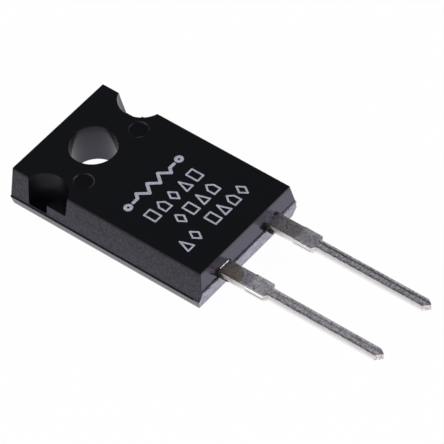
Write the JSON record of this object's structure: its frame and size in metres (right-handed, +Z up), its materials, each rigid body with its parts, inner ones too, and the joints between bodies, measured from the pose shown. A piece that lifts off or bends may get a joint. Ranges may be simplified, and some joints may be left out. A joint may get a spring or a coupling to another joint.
{
  "type": "power film resistor",
  "caption": "Flat moulded power resistor with a mounting hole, half-round side notches, a metal heat-sink face and parallel stamped leads at one end.",
  "frame": {"origin": "centre of the mounting hole in the mounting face, which is the heat-sink side", "axes": "+X along the leads, towards their tips; +Z up from the mounting face, towards the printed face"},
  "size_m": [0.0289, 0.0104, 0.0032],
  "materials": {
    "moulding_resin": "matte, fine spark-eroded grain on the sides",
    "plated_copper": "nickel plated, satin",
    "tinned_copper": "matte tin with fine draw lines",
    "chip_bond": "dull",
    "alumina": "fired, matte",
    "resistance_ink": "fired thick film",
    "conductor_ink": "fired silver, matte",
    "glaze": "glossy glass",
    "solder": "bright"
  },
  "bodies": {
    "root": {"moulded_body": "moulding_resin", "heat_spreader": "plated_copper", "substrate_bond": "chip_bond", "ceramic_substrate": "alumina", "resistance_film": "resistance_ink", "film_overglaze": "glaze", "termination_left": "conductor_ink", "termination_right": "conductor_ink", "solder_joint_left": "solder", "solder_joint_right": "solder", "lead_left": "tinned_copper", "lead_right": "tinned_copper"}
  },
  "joints": []
}
